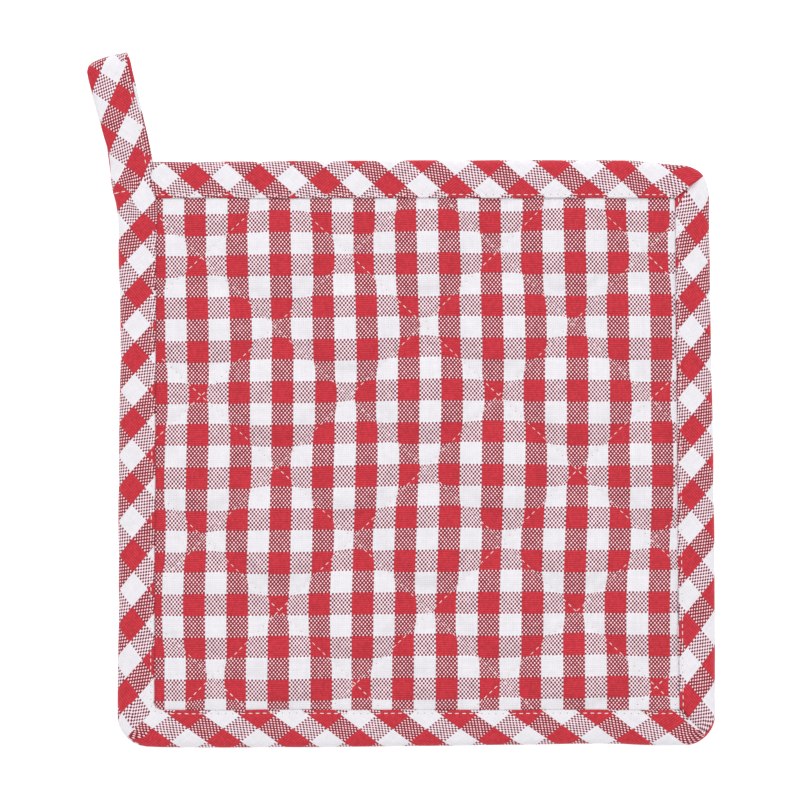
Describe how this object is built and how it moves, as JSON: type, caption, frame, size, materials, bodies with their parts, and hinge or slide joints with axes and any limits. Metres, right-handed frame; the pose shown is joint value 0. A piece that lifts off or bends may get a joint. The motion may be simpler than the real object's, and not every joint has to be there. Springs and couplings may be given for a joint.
{
  "type": "pot holder",
  "caption": "Square quilted pot holder in red and white gingham with a bias-cut edge binding and a hanging loop at one corner.",
  "frame": {"origin": "middle of the square pad, on the flat of its underside, where it rests", "axes": "+Z out of the quilted face, +Y towards the edge that carries the hanging loop, +X to the right as the face is read"},
  "size_m": [0.2132, 0.2338, 0.0072],
  "materials": {
    "gingham_panel": "plain-woven cotton in 7 mm red and white checks, matt, quilted with white thread",
    "bias_binding": "the same plain-woven checked cotton cut on the bias, matt, edge-stitched with white thread"
  },
  "bodies": {
    "root": {"quilted_pad": "gingham_panel", "edge_binding": "bias_binding", "hanging_loop": "bias_binding"}
  },
  "joints": []
}
